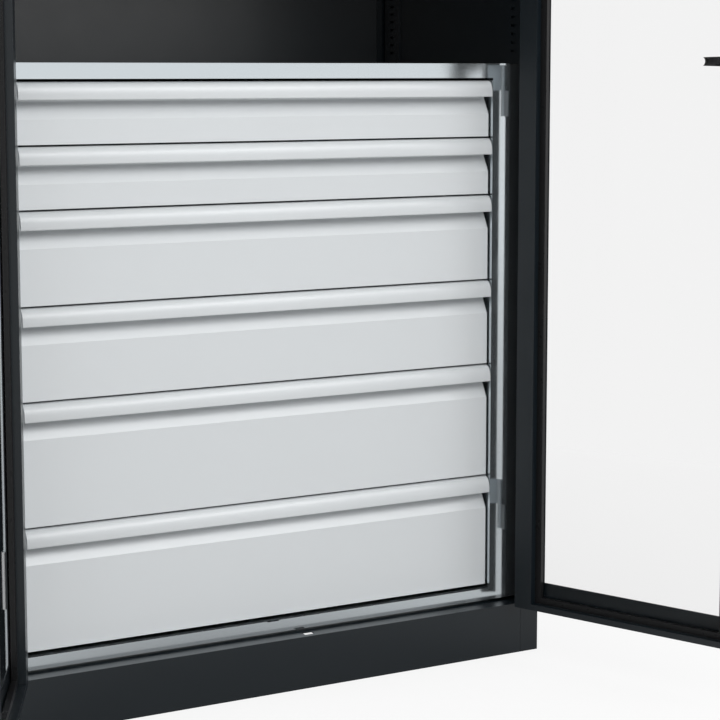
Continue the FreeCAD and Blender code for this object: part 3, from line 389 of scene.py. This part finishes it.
def extrude_profile(shape, profile, low, high):
    """Fill a closed outline in Y and Z and draw it out along X."""
    first = [shape.verts.new((low, y, z)) for y, z in profile]
    last = [shape.verts.new((high, y, z)) for y, z in profile]
    count = len(profile)
    for index in range(count):
        after = (index + 1) % count
        shape.faces.new((first[index], first[after], last[after], last[index]))
    for ring in (first, last):
        shape.faces.new(ring)


# Operators, one for each group of like pieces

class CABINET_OT_carcass(bpy.types.Operator):
    """Dark powder coat on the carcass, the shelves and their rails, glossier on the back"""
    bl_idname = "cabinet.carcass"
    bl_label = "Finish the carcass"

    def execute(self, context):
        finish = context.scene.cabinet_finish
        coat = powder_coat("Dark powder coat", tuple(finish.carcass_colour), finish.carcass_roughness,
                           gloss=finish.carcass_gloss)
        names = ["side_left", "side_right", "top_panel", "floor_panel", "floor_bearer",
                 "shelf_rails", "shelf_lower", "shelf_upper"]
        dress(names, coat, finish.edge_radius)
        wall = powder_coat("Glossier dark powder coat", tuple(finish.carcass_colour),
                           finish.carcass_roughness + WALL_ROUGHER,
                           gloss=finish.carcass_gloss * WALL_GLOSSIER)
        dress(["back_panel"], wall, finish.edge_radius)
        return {"FINISHED"}


class CABINET_OT_housing(bpy.types.Operator):
    """Bright zinc on the housing, its rails and the fillers, and a light powder coat on its cover"""
    bl_idname = "cabinet.housing"
    bl_label = "Finish the drawer housing"

    def execute(self, context):
        finish = context.scene.cabinet_finish
        zinc = bright_zinc("Bright zinc sheet", tuple(finish.housing_colour), finish.housing_roughness)
        names = ["housing_floor", "rail_top", "rail_bottom"]
        names += [f"housing_side_{side}" for side in SIDES]
        names += [f"filler_{side}" for side in SIDES]
        dress(names, zinc, finish.edge_radius)
        dress(["housing_cover"], inner_coat("Cover powder coat", finish), finish.edge_radius)
        return {"FINISHED"}


class CABINET_OT_drawers(bpy.types.Operator):
    """Light powder coat on the drawer fronts and trays"""
    bl_idname = "cabinet.drawers"
    bl_label = "Finish fronts and trays"

    def execute(self, context):
        finish = context.scene.cabinet_finish
        front = powder_coat("Light powder coat", tuple(finish.front_colour), finish.front_roughness,
                            FRONT_GRAIN, finish.front_gloss)
        tray = inner_coat("Tray powder coat", finish)
        fronts = [f"drawer_front_{place}" for place in DRAWERS]
        dress(fronts, front, finish.edge_radius * 2, SLOPE_SHADE_LIMIT)
        dress([f"drawer_tray_{place}" for place in DRAWERS], tray, finish.edge_radius)
        return {"FINISHED"}


class CABINET_OT_grips(bpy.types.Operator):
    """The rolled grips, drawn out along each front from one smooth outline"""
    bl_idname = "cabinet.grips"
    bl_label = "Roll the grips"

    def execute(self, context):
        finish = context.scene.cabinet_finish
        shape = context.scene.cabinet_grip
        coat = powder_coat("Light powder coat, grips", tuple(finish.front_colour),
                           finish.front_roughness, FRONT_GRAIN, finish.front_gloss, GRIP_GRAIN_DEPTH)
        for place in DRAWERS:
            low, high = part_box(f"drawer_grip_{place}")
            outline = grip_outline(shape, low, high)
            piece = new_mesh_piece(
                f"rolled_grip_{place}",
                lambda mesh: extrude_profile(mesh, outline, low.x, high.x),
                coat, f"drawer_{place}", "grip", f"drawer_grip_{place}")
            soften(piece, finish.edge_radius)
        return {"FINISHED"}


def grip_outline(shape, low, high):
    """Outline of the rolled grip: leg, level top, two rolls, rounded lip, and back along the inside."""
    top = high.z
    rear = high.y
    turn = shape.turn
    turn_back = shape.small_roll * math.sin(turn)
    lip = low.y
    start = lip + shape.large_roll * (1 - math.sin(turn)) + turn_back
    outside = [(rear, low.z), (rear, top)]
    inside = []
    for step in range(shape.steps + 1):
        bend = turn * step / shape.steps
        outside.append((start - shape.small_roll * math.sin(bend),
                        top - shape.small_roll * (1 - math.cos(bend))))
        inner = shape.small_roll - shape.wall
        inside.append((start - inner * math.sin(bend), top - shape.small_roll + inner * math.cos(bend)))
    middle_y = outside[-1][0] + shape.large_roll * math.sin(turn)
    middle_z = outside[-1][1] - shape.large_roll * math.cos(turn)
    for step in range(1, shape.steps + 1):
        bend = turn + (math.pi / 2 - turn) * step / shape.steps
        outside.append((middle_y - shape.large_roll * math.sin(bend),
                        middle_z + shape.large_roll * math.cos(bend)))
        inner = shape.large_roll - shape.wall
        inside.append((middle_y - inner * math.sin(bend), middle_z + inner * math.cos(bend)))
    foot = low.z + shape.wall / 2
    lip_ring = []
    for step in range(LIP_STEPS + 1):
        bend = math.pi * step / LIP_STEPS
        lip_ring.append((lip + shape.wall / 2 * (1 - math.cos(bend)), foot - shape.wall / 2 * math.sin(bend)))
    back = [(rear - LEG_GAUGE, top - shape.wall), (rear - LEG_GAUGE, low.z)]
    return outside + lip_ring + list(reversed(inside)) + back


class CABINET_OT_runners(bpy.types.Operator):
    """Zinc plating on the runners, the hinges and the shelf clips"""
    bl_idname = "cabinet.runners"
    bl_label = "Finish runners and small steel"

    def execute(self, context):
        finish = context.scene.cabinet_finish
        steel = plated_steel("Plated steel", tuple(finish.runner_colour), RUNNER_ROUGHNESS)
        names = [f"runner_rails_{side}" for side in SIDES]
        names += [f"runner_middle_{place}" for place in DRAWERS]
        names += ["shelf_clips", "hinge_pins", "hinge_posts"]
        names += [f"hinge_door_{side}" for side in SIDES]
        dress(names, steel, RUNNER_EDGE)
        return {"FINISHED"}


class CABINET_OT_doors(bpy.types.Operator):
    """Door skins and meeting strip in the carcass coat"""
    bl_idname = "cabinet.doors"
    bl_label = "Finish the doors"

    def execute(self, context):
        finish = context.scene.cabinet_finish
        coat = powder_coat("Dark powder coat, doors", tuple(finish.carcass_colour),
                           finish.carcass_roughness, gloss=finish.carcass_gloss)
        names = [f"door_skin_{side}" for side in SIDES] + ["meeting_strip"]
        dress(names, coat, finish.edge_radius)
        return {"FINISHED"}


class CABINET_OT_glazing(bpy.types.Operator):
    """Black beads and clear panes"""
    bl_idname = "cabinet.glazing"
    bl_label = "Glaze the doors"

    def execute(self, context):
        finish = context.scene.cabinet_finish
        bead = moulded_plastic("Black bead", tuple(finish.bead_colour), BEAD_ROUGHNESS)
        pane = clear_sheet("Clear pane", tuple(finish.pane_colour), finish.pane_cover)
        dress([f"glazing_bead_{side}" for side in SIDES], bead, MOULDED_EDGE)
        for side in SIDES:
            wear(f"pane_{side}", pane)
        return {"FINISHED"}


class CABINET_OT_lock(bpy.types.Operator):
    """Lock case, rods, guides and handle"""
    bl_idname = "cabinet.lock"
    bl_label = "Finish the lock"

    def execute(self, context):
        finish = context.scene.cabinet_finish
        steel = plated_steel("Lock steel", tuple(finish.runner_colour), LOCK_ROUGHNESS)
        black = moulded_plastic("Handle plastic", tuple(finish.handle_colour), HANDLE_ROUGHNESS)
        dress(["lock_case", "lock_rod_lower", "lock_rod_upper", "rod_guides"], steel, LOCK_EDGE)
        dress(["lock_handle"], black, MOULDED_EDGE)
        return {"FINISHED"}


class CABINET_OT_stage(bpy.types.Operator):
    """Pale floor, soft light and the camera"""
    bl_idname = "cabinet.stage"
    bl_label = "Set the studio"

    def execute(self, context):
        studio = context.scene.cabinet_studio
        self.lay_floor(context)
        self.light_room(context, studio)
        self.hang_lamp(context, studio)
        self.set_camera(context, studio)
        context.scene.view_settings.view_transform = "Standard"
        return {"FINISHED"}

    def lay_floor(self, context):
        """A round floor. To the camera it turns white away from the cabinet, and a mirror sees it as a grey
        glow, a painted reflection that is darker near the cabinet as painted shade.
        """
        mesh = bpy.data.meshes.new("studio_floor")
        shape = bmesh.new()
        bmesh.ops.create_circle(shape, cap_ends=True, segments=FLOOR_SEGMENTS, radius=FLOOR_RADIUS)
        shape.to_mesh(mesh)
        shape.free()
        floor = bpy.data.objects.new("studio_floor", mesh)
        context.scene.collection.objects.link(floor)
        surface = Surface("Pale floor", (0.86, 0.86, 0.86), 0.9)
        surface.set("Specular IOR Level", 0.0)
        nodes, links = surface.nodes, surface.links
        away = nodes.new("ShaderNodeVectorMath")
        away.operation = "LENGTH"
        links.new(surface.place, away.inputs[0])
        fade = surface.spread(away.outputs["Value"], **FLOOR_SEEN_WHITE)
        path = nodes.new("ShaderNodeLightPath")
        share = nodes.new("ShaderNodeMath")
        share.operation = "MULTIPLY"
        links.new(fade, share.inputs[0])
        links.new(path.outputs["Is Camera Ray"], share.inputs[1])
        white = nodes.new("ShaderNodeEmission")
        white.inputs["Strength"].default_value = 1.0
        seen = nodes.new("ShaderNodeMixShader")
        links.new(share.outputs[0], seen.inputs["Fac"])
        links.new(surface.shader.outputs[0], seen.inputs[1])
        links.new(white.outputs[0], seen.inputs[2])
        # Mirrors see the floor as a glowing grey. This is a painted reflection, with painted shade near the
        # cabinet.
        painted_floor_reflection = nodes.new("ShaderNodeEmission")
        near = surface.spread(away.outputs["Value"], **FLOOR_PAINTED_REFLECTION_NEAR)
        far = surface.spread(away.outputs["Value"], **FLOOR_PAINTED_REFLECTION_FAR)
        both = nodes.new("ShaderNodeMath")
        links.new(near, both.inputs[0])
        links.new(far, both.inputs[1])
        links.new(both.outputs[0], painted_floor_reflection.inputs["Strength"])
        mirrored = nodes.new("ShaderNodeMixShader")
        links.new(path.outputs["Is Glossy Ray"], mirrored.inputs["Fac"])
        links.new(seen.outputs[0], mirrored.inputs[1])
        links.new(painted_floor_reflection.outputs[0], mirrored.inputs[2])
        links.new(mirrored.outputs[0], nodes["Material Output"].inputs["Surface"])
        mesh.materials.append(surface.material)

    def light_room(self, context, studio):
        """Plain light from all round. The camera and the panes see white, and mirrors a light panel."""
        world = bpy.data.worlds.new("Studio room")
        context.scene.world = world
        world.use_nodes = True
        nodes, links = world.node_tree.nodes, world.node_tree.links
        nodes.clear()
        output = nodes.new("ShaderNodeOutputWorld")
        light = nodes.new("ShaderNodeBackground")
        light.inputs["Strength"].default_value = studio.sky_strength
        white = nodes.new("ShaderNodeBackground")
        white.inputs["Strength"].default_value = 1.0
        mirrored = nodes.new("ShaderNodeBackground")
        for background in (light, white, mirrored):
            background.inputs["Color"].default_value = (1.0, 1.0, 1.0, 1.0)
        links.new(self.light_panel(nodes, links, studio.panel_strength), mirrored.inputs["Strength"])
        path = nodes.new("ShaderNodeLightPath")
        result = light.outputs[0]
        for kind, background in (
            ("Is Camera Ray", white),
            ("Is Transmission Ray", white),
            ("Is Glossy Ray", mirrored),
        ):
            mix = nodes.new("ShaderNodeMixShader")
            links.new(path.outputs[kind], mix.inputs["Fac"])
            links.new(result, mix.inputs[1])
            links.new(background.outputs[0], mix.inputs[2])
            result = mix.outputs[0]
        links.new(result, output.inputs["Surface"])

    def light_panel(self, nodes, links, strength):
        """Brightness by direction: one all round, and more in a band high in front of the cabinet."""
        direction = nodes.new("ShaderNodeSeparateXYZ")
        links.new(nodes.new("ShaderNodeTexCoord").outputs["Generated"], direction.inputs["Vector"])
        value = None
        for axis, start, end, low, high in LIGHT_PANEL:
            ramp = nodes.new("ShaderNodeMapRange")
            ramp.interpolation_type = "SMOOTHSTEP"
            ramp.inputs["From Min"].default_value = start
            ramp.inputs["From Max"].default_value = end
            ramp.inputs["To Min"].default_value = low
            ramp.inputs["To Max"].default_value = high
            links.new(direction.outputs[axis], ramp.inputs["Value"])
            if value is None:
                value = ramp.outputs["Result"]
                continue
            product = nodes.new("ShaderNodeMath")
            product.operation = "MULTIPLY"
            links.new(value, product.inputs[0])
            links.new(ramp.outputs["Result"], product.inputs[1])
            value = product.outputs[0]
        total = nodes.new("ShaderNodeMath")
        total.operation = "MULTIPLY_ADD"
        total.inputs[1].default_value = strength - 1.0
        total.inputs[2].default_value = 1.0
        links.new(value, total.inputs[0])
        return total.outputs[0]

    def hang_lamp(self, context, studio):
        """One large soft lamp in front of the cabinet, over the camera and to its right. Mirrors miss it."""
        data = bpy.data.lights.new("Soft lamp", "AREA")
        data.shape = "RECTANGLE"
        data.size, data.size_y = LAMP_SIZE
        data.energy = studio.lamp_strength
        lamp = bpy.data.objects.new("Soft lamp", data)
        lamp.location = LAMP_PLACE
        aim = Vector(LAMP_AIM) - lamp.location
        lamp.rotation_euler = aim.to_track_quat("-Z", "Y").to_euler()
        lamp.visible_glossy = False
        context.scene.collection.objects.link(lamp)

    def set_camera(self, context, studio):
        data = bpy.data.cameras.new("Camera")
        data.sensor_width = 36.0
        data.lens = studio.lens
        data.shift_y = studio.camera_rise
        data.clip_end = 100.0
        camera = bpy.data.objects.new("Camera", data)
        camera.location = studio.camera_place
        camera.rotation_euler = (math.pi / 2 - studio.camera_pitch, 0, -studio.camera_yaw)
        context.scene.collection.objects.link(camera)
        context.scene.camera = camera


class CABINET_PT_panel(bpy.types.Panel):
    """Steps and settings of the cabinet"""
    bl_idname = "CABINET_PT_panel"
    bl_label = "Tool Cabinet"
    bl_space_type = "VIEW_3D"
    bl_region_type = "UI"
    bl_category = "Tool Cabinet"

    def draw(self, context):
        for step in STEPS:
            self.layout.operator(step.bl_idname)
        for group in ("cabinet_finish", "cabinet_grip", "cabinet_studio"):
            settings = getattr(context.scene, group)
            box = self.layout.box()
            for name in settings.bl_rna.properties.keys():
                if name not in ("rna_type", "name"):
                    box.prop(settings, name)


STEPS = (
    CABINET_OT_carcass,
    CABINET_OT_housing,
    CABINET_OT_drawers,
    CABINET_OT_grips,
    CABINET_OT_runners,
    CABINET_OT_doors,
    CABINET_OT_glazing,
    CABINET_OT_lock,
    CABINET_OT_stage,
)
SETTINGS = (CabinetFinish, GripShape, StudioSetting)


def register():
    for kind in (*SETTINGS, *STEPS, CABINET_PT_panel):
        bpy.utils.register_class(kind)
    bpy.types.Scene.cabinet_finish = PointerProperty(type=CabinetFinish)
    bpy.types.Scene.cabinet_grip = PointerProperty(type=GripShape)
    bpy.types.Scene.cabinet_studio = PointerProperty(type=StudioSetting)


def unregister():
    del bpy.types.Scene.cabinet_studio
    del bpy.types.Scene.cabinet_grip
    del bpy.types.Scene.cabinet_finish
    for kind in reversed((*SETTINGS, *STEPS, CABINET_PT_panel)):
        bpy.utils.unregister_class(kind)


def main():
    register()
    for step in STEPS:
        group, action = step.bl_idname.split(".")
        getattr(getattr(bpy.ops, group), action)()


if __name__ == "__main__":
    main()
